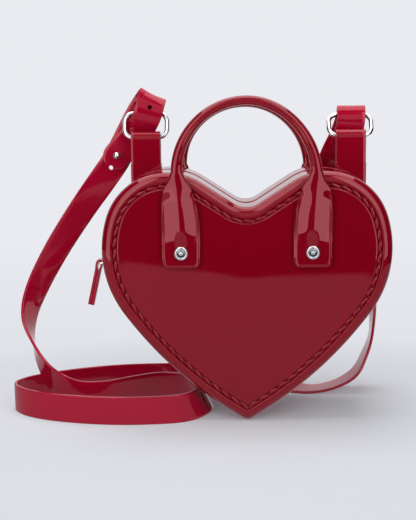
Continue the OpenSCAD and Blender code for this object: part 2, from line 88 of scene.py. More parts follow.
def travelled(points):            # distance run along a line at each of its points
    return np.concatenate([[0], np.cumsum(np.linalg.norm(np.diff(points, axis=0), axis=1))])


def atTravel(at, run, values):    # values of a line read at other distances along it
    return np.stack([np.interp(at, run, values[:, c]) for c in range(values.shape[1])], 1)


def throughPoints(points, steps):
    # cubic through every point, steps per span: p1 + (p2-p0)t/2 + (2p0-5p1+4p2-p3)t2/2 + (3p1-p0-3p2+p3)t3/2
    p = np.asarray(points, float)
    k = np.arange((len(p) - 1) * steps + 1)
    i, t = k // steps, (k % steps)[:, None] / steps
    a, b, c, d = (p[np.clip(i + o, 0, len(p) - 1)] for o in (-1, 0, 1, 2))
    return b + (c - a) * t / 2 + (2 * a - 5 * b + 4 * c - d) * t ** 2 / 2 + (3 * b - a - 3 * c + d) * t ** 3 / 2


def gridFaces(rows, columns, closeRows=False, closeColumns=False, start=0):
    # quads of a rows by columns grid of points numbered row by row
    i, j = np.meshgrid(np.arange(rows - (not closeRows)), np.arange(columns - (not closeColumns)), indexing="ij")
    down, beside = (i + 1) % rows, (j + 1) % columns
    quads = [i * columns + j, down * columns + j, down * columns + beside, i * columns + beside]
    return (start + np.stack(quads, -1)).reshape(-1, 4)


def outward(points, faces):
    # turns every face over if the skin's signed volume, the sum of a.(b x c) over its corners, is negative
    volume = 0
    for group in faces:
        for i in range(1, group.shape[1] - 1):
            a, b, c = points[group[:, 0]], points[group[:, i]], points[group[:, i + 1]]
            volume += np.einsum("ij,ij->", a, np.cross(b, c))
    return points, [group[:, ::-1] for group in faces] if volume < 0 else faces


def skin(grid, closeRows=False):
    # closed form from rows of points, each row a ring; the two ends are capped unless the rows meet
    rows, n = grid.shape[:2]
    faces = [gridFaces(rows, n, closeRows, True)]
    if not closeRows:
        faces += [np.arange(n)[None], (rows - 1) * n + np.arange(n)[None, ::-1]]
    return outward(grid.reshape(-1, 3), faces)


def addObject(name, data):
    thing = bpy.data.objects.new(name, data)
    scene.collection.objects.link(thing)
    return thing


def meshFrom(name, points, faces):
    mesh = bpy.data.meshes.new(name)
    mesh.from_pydata(points.tolist(), [], [row for group in faces for row in group.tolist()])
    return mesh


def addPiece(name, forms, body, finish, node=None, sharp=38):
    # one object from closed forms, each its points in millimetres and its arrays of equal faces
    slot, material = finish
    starts = np.cumsum([0] + [len(points) for points, _ in forms])
    mesh = meshFrom(name, np.concatenate([points for points, _ in forms]) * millimetre,
                    [group + start for (_, faces), start in zip(forms, starts) for group in faces])
    mesh.shade_smooth()
    mesh.set_sharp_from_angle(angle=math.radians(sharp))
    mesh.materials.append(material)
    piece = addObject(name, mesh)
    if node:
        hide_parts(node)
    if body:
        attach(piece, body)
    return piece


def addPair(name, frontForms, backForms, finish, node=None, sharp=38):
    # one piece on each half, the back one from mirrored forms
    turnedOver = [outward(points * [1, -1, 1], faces) for points, faces in backForms]
    return [addPiece(side + name, forms, side, finish, node and side + node, sharp)
            for side, forms in (("front", frontForms), ("back", turnedOver))]


def cutAway(piece, forms, sharp=38):
    # takes closed forms out of a piece and keeps the result as its plain mesh
    for points, faces in forms:
        cutter = addObject("cutter", meshFrom("cutter", points * millimetre, faces))
        modifier = piece.modifiers.new("cut", "BOOLEAN")
        modifier.operation, modifier.solver, modifier.object = "DIFFERENCE", "EXACT", cutter
        bpy.context.view_layer.update()
        done = bpy.data.meshes.new_from_object(piece.evaluated_get(bpy.context.evaluated_depsgraph_get()))
        piece.modifiers.clear()
        piece.data = done
        bpy.data.objects.remove(cutter)
    piece.data.set_sharp_from_angle(angle=math.radians(sharp))


class Value:
    # wraps a number socket, so that shader maths can be written as an expression
    def __init__(self, tree, socket):
        self.tree, self.socket = tree, socket

    def calc(self, operation, *terms):
        node = self.tree.nodes.new("ShaderNodeMath")
        node.operation = operation
        for slot, term in zip(node.inputs, terms):
            if isinstance(term, Value):
                self.tree.links.new(term.socket, slot)
            else:
                slot.default_value = term
        return Value(self.tree, node.outputs[0])

    def __add__(self, o): return self.calc("ADD", self, o)
    def __radd__(self, o): return self.calc("ADD", o, self)
    def __sub__(self, o): return self.calc("SUBTRACT", self, o)
    def __rsub__(self, o): return self.calc("SUBTRACT", o, self)
    def __mul__(self, o): return self.calc("MULTIPLY", self, o)
    def __rmul__(self, o): return self.calc("MULTIPLY", o, self)
    def root(self): return self.calc("SQRT", self)
    def clamped(self): return self.calc("MINIMUM", self.calc("MAXIMUM", self, 0.0), 1.0)


class Finish:
    # one material or world: node() adds any node from its type, settings and socket values or links
    def __init__(self, name=None, tree=None):
        self.material = None
        if tree is None:
            self.material = bpy.data.materials.new(name)
            self.material.use_nodes = True
            tree = self.material.node_tree
        self.tree = tree
        tree.nodes.clear()

    def node(self, kind, settings=None, sockets=None, out=0):
        node = self.tree.nodes.new(kind)
        for key, setting in (settings or {}).items():
            setattr(node, key, setting)
        for key, given in (sockets or {}).items():
            slot = node.inputs[key]
            if isinstance(given, Value):
                self.tree.links.new(given.socket, slot)
            elif isinstance(given, tuple) and slot.type == "RGBA":
                slot.default_value = (*given, 1)
            else:
                slot.default_value = given
        return Value(self.tree, node.outputs[out]) if len(node.outputs) else None

    def place(self):              # object coordinates
        return self.node("ShaderNodeTexCoord", out=3)

    def noise(self, scale, detail=2.0, rough=0.5):
        return self.node("ShaderNodeTexNoise", None, {"Vector": self.place(), "Scale": scale,
                                                      "Detail": detail, "Roughness": rough})

    def mix(self, amount, first, second):
        return self.node("ShaderNodeMix", {"data_type": "RGBA"}, {0: amount, 6: first, 7: second}, out=2)

    def bump(self, strength, distance, height):
        return self.node("ShaderNodeBump", None, {"Strength": strength, "Distance": distance, "Height": height})

    def principled(self, sockets):
        return self.end(self.node("ShaderNodeBsdfPrincipled", None, sockets))

    def end(self, shader, kind="ShaderNodeOutputMaterial"):
        self.node(kind, None, {"Surface": shader})
        return self.material


def glossyPlastic(name, look):
    # deep coloured moulded plastic: cloudy tone, smudges in the gloss and a faint moulding ripple
    f = Finish(name)
    cloud = f.noise(look["cloudScale"], 3.0, 0.55)
    dust = f.noise(look["dustScale"], 4.0, 0.6)
    colour = f.mix(((cloud - 0.5) * look["cloudContrast"] + 0.5).clamped(), look["dark"], look["light"])
    rough = look["roughness"] + (dust - 0.45).clamped() * look["smudge"]
    ripple = f.noise(look["rippleScale"], 1.0, 0.4)
    grain = f.noise(look["grainScale"], 2.0, 0.5)
    bump = f.bump(look["bump"], 0.0002, ripple * 0.9 + grain * 0.1)
    return f.principled({"Base Color": colour, "Roughness": rough, "Normal": bump, "IOR": look["ior"],
                         "Specular Tint": look["tint"]})


def polishedMetal(name, look):
    # bright plating with cloudy tone and fine scratches
    f = Finish(name)
    fine = f.noise(look["scratchScale"], 3.0, 0.6)
    cloud = f.noise(look["cloudScale"], 2.0, 0.5)
    colour = f.mix(cloud, look["dark"], look["light"])
    return f.principled({"Base Color": colour, "Metallic": 1.0, "Roughness": look["roughness"] + fine * look["smudge"],
                         "Normal": f.bump(look["bump"], 0.0001, fine)})


def wovenTape(name, look):
    # twill: two crossed waves on object coordinates
    f = Finish(name)
    warp, weft = (f.node("ShaderNodeTexWave", {"bands_direction": way},
                         {"Vector": f.place(), "Scale": look["weaveScale"] * share, "Distortion": 0.4}, out=1)
                  for way, share in (("DIAGONAL", 1.0), ("Y", 0.8)))
    height = warp * 0.5 + weft * 0.5
    return f.principled({"Base Color": f.mix(height, look["dark"], look["light"]), "Roughness": 0.75 + height * 0.15,
                         "Normal": f.bump(0.5, 0.0003, height)})


shellLook = dict(dark=(0.205, 0.0006, 0.008), light=(0.245, 0.0010, 0.011), cloudScale=14.0, cloudContrast=0.9,
                 dustScale=60.0, roughness=0.025, smudge=0.04, rippleScale=42.0, grainScale=900.0, bump=0.06,
                 ior=1.8, tint=(1.0, 0.45, 0.48))
strapLook = dict(shellLook, dark=(0.37, 0.0014, 0.023), light=(0.43, 0.0024, 0.030), roughness=0.085, bump=0.1)
lugLook = dict(shellLook, dark=(0.285, 0.0010, 0.013), light=(0.325, 0.0014, 0.017))
toothLook = dict(shellLook, dark=(0.12, 0.0008, 0.010), light=(0.16, 0.0010, 0.012), roughness=0.25)
metalLook = dict(dark=(0.74, 0.75, 0.77), light=(0.86, 0.87, 0.88), scratchScale=700.0, cloudScale=90.0,
                 roughness=0.04, smudge=0.06, bump=0.05)
tapeLook = dict(dark=(0.07, 0.001, 0.008), light=(0.14, 0.002, 0.016), weaveScale=420.0)

# finishes: the record's slot and the material
shellRed = "red_shell", glossyPlastic("shellRed", shellLook)
strapRed = "red_strap", glossyPlastic("strapRed", strapLook)
lugRed = "red_shell", glossyPlastic("lugRed", lugLook)
toothRed = "dark_red_teeth", glossyPlastic("toothRed", toothLook)
chrome = "chrome", polishedMetal("chrome", metalLook)
tapeRed = "dark_red_zip", wovenTape("tapeRed", tapeLook)
print("materials made")

shot = dict(place=(-9.27, -670.1, 218.6), yaw=-0.0249, pitch=-0.17, roll=-0.0118, focal=1000, frameHeight=520,
            sensor=24)


def addCamera():
    # aims along (sin yaw cos pitch, cos yaw cos pitch, sin pitch), then rolls about that line
    data = bpy.data.cameras.new("camera")
    data.sensor_fit = "VERTICAL"
    data.sensor_height = shot["sensor"]
    data.lens = shot["sensor"] * shot["focal"] / shot["frameHeight"]
    data.clip_start, data.clip_end = 0.01, 50
    camera = addObject("camera", data)
    y, p, r = shot["yaw"], shot["pitch"], shot["roll"]
    ahead = Vector((math.sin(y) * math.cos(p), math.cos(y) * math.cos(p), math.sin(p)))
    side = ahead.cross(Vector((0, 0, 1))).normalized()
    turn = Matrix((side, side.cross(ahead), -ahead)).transposed() @ Matrix.Rotation(r, 3, "Z")
    camera.matrix_world = Matrix.Translation(Vector(shot["place"]) * millimetre) @ turn.to_4x4()
    scene.camera = camera


addCamera()

# leftJoint, meeting and rightJoint number the points of the route where the strap's parts meet; leftBend and
# rightBend are how many spans of it each run takes to bend
strap = dict(width=19.0, thickness=2.0, edge=0.5, steps=8, leftJoint=14, meeting=43, rightJoint=54,
             leftBend=3, rightBend=4)
fittings = dict(leftX=-67.4, rightX=71.0, y=11.05, barZ=186.25)       # where the rings' lower bars lie
# middle of the strap and the direction of its width; the tails are given from the rings' lower bars
leftTail = [
    [-26.6, 6.1, -20, 0.78, 0, -0.62], [-20.2, 6.1, -12.1, 0.78, 0, -0.62], [-12.6, 6.2, -3.6, 0.82, 0, -0.57],
    [-6, 5.6, 3.6, 0.93, 0, -0.36], [-2.2, 2.9, 8.4, 0.97, 0, -0.2], [0, 0.1, 12, 0.96, 0, -0.26],
    [2.2, -1.1, 17, 0.95, 0, -0.32], [4, -0.5, 23.4, 0.92, 0, -0.4], [4.8, 3.7, 27.8, 0.9, 0, -0.44],
    [1, 8.1, 23.6, 0.88, 0, -0.47], [-5, 8.9, 14.6, 0.86, 0, -0.51], [-10.4, 8.9, 4.8, 0.84, 0, -0.54],
    [-15.8, 8.9, -5.4, 0.83, 0, -0.56], [-21.8, 8.9, -16, 0.81, 0, -0.58], [-29.5, 8.9, -26.8, 0.8, 0.06, -0.6]]
groundRun = [
    [-112.7, 19.6, 138, 0.76, 0.35, -0.53], [-130.7, 18, 111, 0.72, 0.5, -0.42], [-145.4, 15, 84, 0.66, 0.68, -0.28],
    [-151.5, 10, 64, 0.38, 0.91, -0.18], [-149, 6.5, 45, -0.14, 0.95, -0.26], [-141, 2.5, 27.5, -0.42, 0.74, -0.52],
    [-130, -0.5, 16, -0.3, 0.3, -0.9], [-116, -2.5, 10.2, -0.05, 0.04, -1], [-98, -0.5, 9.5, 0, 0, -1],
    [-80, 11, 9.5, 0, 0, -1], [-62, 20, 9.5, 0, 0, -1], [-41.5, 15.5, 9.4, 0.2, 0, -0.98],
    [-29, -2, 8.6, 0.5, 0.03, -0.86], [-33, -21, 9.2, 0.3, -0.12, -0.95], [-44, -33, 9.5, 0.03, -0.05, -1],
    [-65, -37.5, 9.5, 0, 0, -1], [-88, -38, 9.5, 0, 0, -1], [-112, -34.5, 9.5, 0, 0, -1],
    [-136, -27, 9.5, 0, 0, -1], [-153, -16, 9.5, 0, 0, -1], [-160.5, -2, 9.5, 0, 0, -1],
    [-153, 12, 9.5, 0, 0, -1], [-137, 23.5, 9.5, 0, 0, -1], [-117, 33, 9.5, 0, 0, -1],
    [-95, 40, 9.5, 0, 0, -1], [-72, 42, 9.6, 0, -0.16, -0.99], [-48, 43, 9.3, 0, -0.4, -0.92],
    [-24, 45, 8.3, 0, -0.62, -0.79], [2, 46, 6.2, 0, -0.84, -0.54], [25, 41, 3.2, 0, -0.97, -0.22],
    [45, 36, 1.2, 0, -1, 0], [63, 37, 3.8, 0, -1, 0.03], [78, 39, 11.6, 0.03, -1, 0],
    [86, 42, 24, 0, -1, 0], [92, 45, 43, -0.05, -0.99, 0], [91, 48, 72, 0.25, -0.96, 0],
    [81, 49, 103, 0.75, -0.65, 0.1], [69, 47.5, 132, 0.95, -0.3, 0], [61, 43.5, 152, 0.98, 0, -0.2]]
rightTail = [
    [-11, 26.5, -21.8, 0.97, 0, -0.25], [-9.4, 21.5, -15.4, 0.97, 0, -0.26], [-7.4, 17.5, -9.8, 0.97, 0, -0.25],
    [-4.8, 14.5, -3.8, 0.98, 0, -0.2], [-1.8, 13.3, 3.6, 0.99, 0, -0.15], [0.7, 13.8, 11.6, 1, 0, -0.06],
    [1.1, 9.5, 18.8, 1, 0, 0], [0.9, 4.9, 12.6, 1, 0, 0], [0.1, 5.7, 5.2, 1, 0, -0.1],
    [-1.5, 9.1, -1.4, 1, 0, -0.1], [-2.7, 12.5, -7, 1, 0, -0.08], [-3.9, 16.1, -12.6, 1, 0, -0.08]]


def fromRing(x, tail):
    return np.array(tail) + [x, fittings["y"], fittings["barZ"], 0, 0, 0]


route = np.concatenate([fromRing(fittings["leftX"], leftTail), groundRun, fromRing(fittings["rightX"], rightTail)])
line = throughPoints(route[:, :3], strap["steps"])
tangent = unit(np.gradient(line, axis=0))
across = throughPoints(route[:, 3:], strap["steps"])
across = unit(across - tangent * (across * tangent).sum(1, keepdims=True))
facing = np.cross(tangent, across)
travel = travelled(line)


def bandSection(width, thickness, edge, points=5, flat=7):
    # rounded rectangle round its middle: flat faces with a quarter round at each edge
    a, b = width / 2, thickness / 2
    q = np.linspace(0, math.pi / 2, points)
    corner = np.stack([a - edge + edge * np.cos(q), b - edge + edge * np.sin(q)], 1)
    inner = np.stack([np.linspace(a - edge, edge - a, flat + 2)[1:-1], np.full(flat, b)], 1)
    top = np.concatenate([corner, inner, (corner * [-1, 1])[::-1]])
    return np.concatenate([top, -top])


def strapForm(first, last, roundFirst=False, roundLast=False):
    # the section carried along the line; a rounded end narrows as a half circle does
    at = travel[first * strap["steps"]:last * strap["steps"] + 1]
    half = strap["width"] / 2
    reachedEnd = half * (1 - np.cos(np.linspace(0, math.pi / 2, 14)))
    if roundFirst:
        at = np.concatenate([at[0] + reachedEnd[:-1], at[at > at[0] + half]])
    if roundLast:
        at = np.concatenate([at[at < at[-1] - half], at[-1] - reachedEnd[-2::-1]])
    mid, wide, up = atTravel(at, travel, line), unit(atTravel(at, travel, across)), unit(atTravel(at, travel, facing))
    reach = np.ones(len(at))
    for rounded, gone in ((roundFirst, at - at[0]), (roundLast, at[-1] - at)):
        if rounded:
            reach = reach * quarterRise(gone / half, 0.001)
    s = bandSection(strap["width"], strap["thickness"], strap["edge"])
    return skin(mid[:, None] + s[None, :, :1] * reach[:, None, None] * wide[:, None] + s[None, :, 1:] * up[:, None])


def turned(profile, count=48):
    # (radius, height) rows turned about the height axis
    r, h = np.array(profile, float).T
    a = fullTurn(count)
    return np.stack([r[:, None] * np.cos(a), r[:, None] * np.sin(a), np.broadcast_to(h[:, None], (len(r), count))], -1)


def stoodAlong(grid, at, way):    # a form's height axis laid along a direction
    w = unit(np.asarray(way, float))
    u = unit(np.cross(w, [1, 0, 0]))
    return at + grid[..., :1] * u + grid[..., 1:2] * np.cross(w, u) + grid[..., 2:] * w


def strapHole(index, way, diameter):
    return skin(stoodAlong(turned([(diameter / 2, -8), (diameter / 2, 8)], 32), line[index], way))


stud = dict(head=5.0, neck=2.6, screw=7.0, collar=4.4, leftReach=(0, 2.8, 0), rightReach=(0, 3.5, 1.7))
leftStudAt, rightStudAt = strap["steps"], len(line) - 1 - strap["steps"]
hole = dict(diameter=3.2, places=(52, 108))       # in steps along the left end
leftAt, meetAt, rightAt = strap["leftJoint"], strap["meeting"], strap["rightJoint"]
leftEnd = addPiece("leftStrapEnd", [strapForm(0, leftAt, roundFirst=True)],
                   "left_ring_group", strapRed, "left_strap_end")
cutAway(leftEnd, [strapHole(leftStudAt, stud["leftReach"], stud["neck"] + 0.2)]
        + [strapHole(k, (0, 1, 0), hole["diameter"]) for k in hole["places"]])
rightEnd = addPiece("rightStrapEnd", [strapForm(rightAt, len(route) - 1, roundLast=True)],
                    "right_ring_group", strapRed, "right_strap_end")
cutAway(rightEnd, [strapHole(rightStudAt, stud["rightReach"], stud["neck"] + 0.2)])
leftRun = addPiece("strapLeftRun", [strapForm(leftAt, meetAt)], None, strapRed, "strap_left_run")
rightRun = addPiece("strapRightRun", [strapForm(meetAt, rightAt)], None, strapRed, "strap_right_run")


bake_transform(leftRun)
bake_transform(rightRun)
for run, first, last in ((leftRun, leftAt, meetAt), (rightRun, meetAt, rightAt)):
    a, b = first * strap["steps"], last * strap["steps"]
    (line[a:b + 1:4] * millimetre).tolist()
print("strap made,", round(travel[-1]), "mm in all")


def studProfile(reach):
    # ball head in front, neck, a thin collar, the neck through both plies and a flat screw behind
    r, neck, collar, screw = (stud[k] / 2 for k in ("head", "neck", "collar", "screw"))
    centre = -strap["thickness"] / 2 - stud["head"] * 0.75
    q = np.linspace(0.02, math.pi - math.asin(neck / r), 14)
    ball = np.stack([r * np.sin(q), centre - r * np.cos(q)], 1)
    back = np.linalg.norm(reach) + strap["thickness"] / 2 + bag["clear"]
    rest = [(neck, -1.95), (collar - 0.15, -1.9), (collar, -1.75), (collar, -1.4), (collar - 0.1, -1.3), (neck, -1.3),
            (neck, back), (screw - 0.2, back), (screw, back + 0.2), (screw, back + 0.9), (screw - 0.4, back + 1.2),
            (1.2, back + 1.2), (1.0, back + 0.8), (0.02, back + 0.8)]
    return np.concatenate([ball, rest])


for side, at in (("left", leftStudAt), ("right", rightStudAt)):
    reach = stud[side + "Reach"]
    form = skin(stoodAlong(turned(studProfile(reach)), line[at], reach))
    addPiece(side + "Stud", [form], side + "_ring_group", chrome, side + "_stud")
print("studs made")


def heartValues():
    # centres and meeting angles of the outline's arcs, right half
    h = heart
    turn = math.radians(h["flankEnd"])
    flank = np.array([h["width"] / 2 - h["flankRadius"],
                      h["height"] - h["shoulderRadius"] - (h["flankRadius"] - h["shoulderRadius"]) * math.sin(turn)])
    shoulder = flank + (h["flankRadius"] - h["shoulderRadius"]) * np.array([math.cos(turn), math.sin(turn)])
    drop = shoulder[1] - h["notchZ"]
    widest = (shoulder[0] ** 2 + drop ** 2 - h["shoulderRadius"] ** 2) / (2 * (h["shoulderRadius"] + drop))
    notchRadius = h["notchShare"] * widest
    notch = np.array([0, h["notchZ"] + notchRadius])
    apart = shoulder - notch
    slope = math.asin((notchRadius + h["shoulderRadius"]) / np.linalg.norm(apart)) + math.atan2(apart[1], apart[0])
    foot = math.asin(h["footWidth"] / 2 / h["tipRadius"])
    tip = np.array([0, h["tipRadius"] * math.cos(foot)])
    gap = flank - tip
    span = np.linalg.norm(gap)
    toTip, toFlank = h["sideRadius"] - h["tipRadius"], h["sideRadius"] - h["flankRadius"]
    along = (toTip ** 2 - toFlank ** 2 + span ** 2) / (2 * span)
    sideways = math.sqrt(toTip ** 2 - along ** 2)
    side = tip + along * gap / span + sideways * np.array([-gap[1], gap[0]]) / span
    return dict(flank=flank, shoulder=shoulder, notch=notch, notchRadius=notchRadius, side=side, foot=foot, turn=turn,
                slope=slope, sideAngle=math.atan2(flank[1] - side[1], flank[0] - side[0]))


hv = heartValues()


def arc(centre, radius, fromAngle, toAngle, count):
    a = fromAngle + (toAngle - fromAngle) * np.arange(1, count + 1)[:, None] / count
    return centre + radius * np.concatenate([np.cos(a), np.sin(a)], 1)


def heartUpper(d, endAngle, fine):
    # right half, drawn in by d: notch arc, straight flank of the notch, lobe, then down the flank to endAngle
    notchEnd = arc(hv["notch"], hv["notchRadius"] + d, -math.pi / 2, hv["slope"] - math.pi / 2, 8 * fine)
    r = heart["shoulderRadius"] - d
    lobeStart = hv["shoulder"] + r * np.array([-math.sin(hv["slope"]), math.cos(hv["slope"])])
    straight = notchEnd[-1] + (lobeStart - notchEnd[-1]) * np.arange(1, 5 * fine + 1)[:, None] / (5 * fine)
    return np.concatenate([
        [[0, hv["notch"][1] - hv["notchRadius"] - d]], notchEnd, straight,
        arc(hv["shoulder"], r, math.pi / 2 + hv["slope"], hv["turn"], 22 * fine),
        arc(hv["flank"], heart["flankRadius"] - d, hv["turn"], endAngle, 28 * fine)])


def heartLower(d, fine):
    # from the flank down the long side and round the tip
    least = max(heart["tipRadius"] - d, 0.6)
    big = heart["sideRadius"] - d
    tip = np.array([0, hv["side"][1] - math.sqrt((big - least) ** 2 - hv["side"][0] ** 2)])
    a = math.atan2(tip[1] - hv["side"][1], -hv["side"][0])
    return np.concatenate([arc(hv["side"], big, hv["sideAngle"], a, 44 * fine),
                           arc(tip, least, a, -math.pi / 2 + hv["foot"], 8 * fine)])


def mirrored(p, skip=0):
    return (p[skip:] * [-1, 1])[::-1]


def heartOutline(d, fine=2):
    h = np.concatenate([heartUpper(d, hv["sideAngle"], fine), heartLower(d, fine)])
    return np.concatenate([h, mirrored(h, 1)])


def zipOutline(d, fine=2):
    h = heartUpper(d, -math.radians(zipper["endAngle"]), fine)
    return np.concatenate([mirrored(h, 1), h])


def upright(p, y):                # heart plane points at depth y, y positive to the back
    return np.stack([p[:, 0], np.broadcast_to(y, len(p)), p[:, 1]], 1)


rim = dict(rollIn=6.4, rollDeep=5.5, grooveStart=8.0, grooveEnd=9.5, grooveDeep=1.6, shoulderIn=10.9, panelIn=13.05,
           roundWithin=0.8)


def shellProfile():
    # rows of (inset, depth): seam lip, side wall, a quarter roll, the stitch groove, the panel's rounded shoulder
    r = rim
    rimY = faceY - r["rollDeep"]
    lip = [(0.5, bag["seamGap"] / 2), (0.15, bag["seamGap"] / 2 + 0.12)]
    wall = [(0, y) for y in np.linspace(bag["seamGap"] / 2 + 0.5, rimY - 0.5, 9)]
    roll = [(r["rollIn"] * (1 - math.cos(a)), rimY + r["rollDeep"] * math.sin(a))
            for a in np.linspace(0, math.pi / 2, 18)]
    fall = [(r["rollIn"] + (r["grooveStart"] - r["rollIn"]) * t, faceY - r["grooveDeep"] * ease(t))
            for t in np.linspace(0.15, 1, 7)]
    rise = [(r["grooveEnd"] + (r["shoulderIn"] - r["grooveEnd"]) * t,
             faceY - r["grooveDeep"] * (1 - math.sin(t * math.pi / 2) ** 0.85)) for t in np.linspace(0, 1, 8)]
    return lip + wall + roll + fall + rise + [(r["shoulderIn"] + 0.8, faceY)]


def shellForm():
    # outer skin, inner skin and the seam edge between them, each row an outline drawn in by its inset
    w = bag["wall"]
    deep = faceY - rim["grooveDeep"] - w
    innerRows = [(rim["panelIn"], faceY - w), (10.2, deep), (w * 1.8, deep), (w + 0.5, faceY - 6), (w, faceY - 9),
                 (w, 10), (w, bag["seamGap"] / 2 + 0.3), (w - 0.3, bag["seamGap"] / 2)]
    edge = heartOutline(rim["panelIn"])
    centre = np.array([0, heart["height"] / 2])
    domeSteps = np.array([1, 0.965, 0.92, 0.86, 0.78, 0.69, 0.59, 0.48, 0.36, 0.24, 0.12])
    rings = [upright(heartOutline(d), -y) for d, y in shellProfile()]
    way = edge - centre
    even = unit(way) * np.linalg.norm(way, axis=1).mean()

    def domeRing(k, y):           # heart shaped near the edge and round towards the middle, so that no crease shows
        share = ease(k / rim["roundWithin"])
        return upright(centre + k * (share * way + (1 - share) * even), -(y + bag["domeRise"] * (1 - k * k)))

    rings += [domeRing(k, faceY) for k in domeSteps]
    a = len(rings)
    rings += [domeRing(k, faceY - w) for k in domeSteps[:0:-1]]
    rings += [upright(heartOutline(d), -y) for d, y in innerRows]
    rings = np.array(rings)
    rows, n = rings.shape[:2]
    poles = [[0, -(faceY + bag["domeRise"]), centre[1]], [0, -(faceY + bag["domeRise"] - w), centre[1]]]
    j = np.arange(n)
    beside = (j + 1) % n
    faces = [gridFaces(a, n, closeColumns=True), gridFaces(rows - a, n, closeColumns=True, start=a * n),
             np.stack([(rows - 1) * n + j, j, beside, (rows - 1) * n + beside], 1),
             np.stack([(a - 1) * n + beside, (a - 1) * n + j, np.full(n, rows * n)], 1),
             np.stack([a * n + j, a * n + beside, np.full(n, rows * n + 1)], 1)]
    return outward(np.concatenate([rings.reshape(-1, 3), poles]), faces)


lug = dict(width=20.0, lowerWidth=20.6, seamZ=168.4, thick=2.0, foot=138.0, gap=4.3, pin=3.0, pinUp=5.0)
lugDeep = lug["gap"] + 2 * lug["thick"]


def blockForm(low, high):
    x, y, z = zip(low, high)
    return skin(np.array([[(x[0], y[0], h), (x[1], y[0], h), (x[1], y[1], h), (x[0], y[1], h)] for h in z]))


def lugSlot(x):
    room = bag["clear"]
    return blockForm((x - lug["width"] / 2 - room, fittings["y"] - lugDeep / 2 - room, lug["foot"]),
                     (x + lug["width"] / 2 + room, fittings["y"] + lugDeep / 2 + room, 200))


shell = [shellForm()]
_, backShell = addPair("Shell", shell, shell, shellRed, "_shell", sharp=50)
cutAway(backShell, [lugSlot(fittings["leftX"]), lugSlot(fittings["rightX"])], sharp=50)
print("shells made")


def stations(path, pitch, shift=0.0, closed=False):
    # even places along a line: the middle, the heading and the inward way of each
    if closed:
        path = np.concatenate([path, path[:1]])
    run = travelled(path)
    count = int(round(run[-1] / pitch))
    at = (np.arange(count) + 0.25 + shift) * run[-1] / count
    ahead = unit(atTravel(at + 0.6, run, path) - atTravel(at - 0.6, run, path))
    return atTravel(at, run, path), ahead, -quarterTurned(ahead)


def strewn(one, places):
    # copies of one closed form of (along, inward, depth) rows, laid at each station
    mid, ahead, inward = places
    rows, n = one.shape[:2]
    p = one.reshape(-1, 3)
    flat = mid[:, None] + p[None, :, :1] * ahead[:, None] + p[None, :, 1:2] * inward[:, None]
    points = np.stack([flat[..., 0], np.broadcast_to(p[:, 2], flat.shape[:2]), flat[..., 1]], -1)
    _, faces = skin(one)
    starts = (np.arange(len(mid)) * rows * n)[:, None, None]
    return outward(points.reshape(-1, 3), [(group[None] + starts).reshape(-1, group.shape[1]) for group in faces])


stitch = dict(pitch=7.6, length=7.0, width=2.5, height=2.1, slant=11, inset=8.75, sunk=0.95, power=3.4)


def stitchForm():
    # plump grain: x = length u / 2, round it an ellipse that shrinks as sqrt(1 - |u|^power); turned by the slant
    u = np.linspace(-0.995, 0.995, 13)
    v = fullTurn(12)
    size = np.sqrt(1 - np.abs(u) ** stitch["power"])[:, None]
    x = (u * stitch["length"] / 2)[:, None] * np.ones_like(v)
    y = size * np.cos(v) * stitch["width"] / 2
    z = size * np.sin(v) * stitch["height"] / 2
    c, s = cosSin(stitch["slant"])
    one = np.stack([x * c - y * s, x * s + y * c, -(faceY - stitch["sunk"] + z)], -1)
    return strewn(one, stations(heartOutline(stitch["inset"], 3), stitch["pitch"], closed=True))


stitches = [stitchForm()]
addPair("Stitches", stitches, stitches, shellRed)
print("stitches made")

# from, over, end and fade are heights above the tab's lower edge
handle = dict(archRadius=44.5, archZ=166.0, gripThick=6.0, legThick=7.4, legDeep=4.6, deepBy=0.5, lean=4.0,
              frontSag=-0.5, backSag=2.0, sway=1.4, tabX=42.4, tabWidth=24.6, tabThick=2.6, tabZ=104.0, edgeRound=0.9,
              lineHeight=0.35, lineIn=1.3, lineWidth=0.42, lineEnd=46, lineFade=14, plump=1.1,
              fullFrom=26.0, fullOver=35.5, roundFrom=28, roundOver=32, moveFrom=20, moveOver=44, squarePower=8,
              slopeFrom=12.0, slopeOver=14.0, slopeEnd=42, slopeFade=19, slopeDrop=3.4, slopePower=1.25)
# height above the tab's lower edge and share of the full width there
tabRows = np.array([[0, 0.72], [1, 0.88], [3.2, 0.98], [6, 1], [10, 1], [18, 1], [26, 1], [33, 0.99], [38, 0.96],
                    [43, 0.9], [48, 0.81], [52, 0.69], [55, 0.56], [58, 0.43], [61.5, 0.33]])


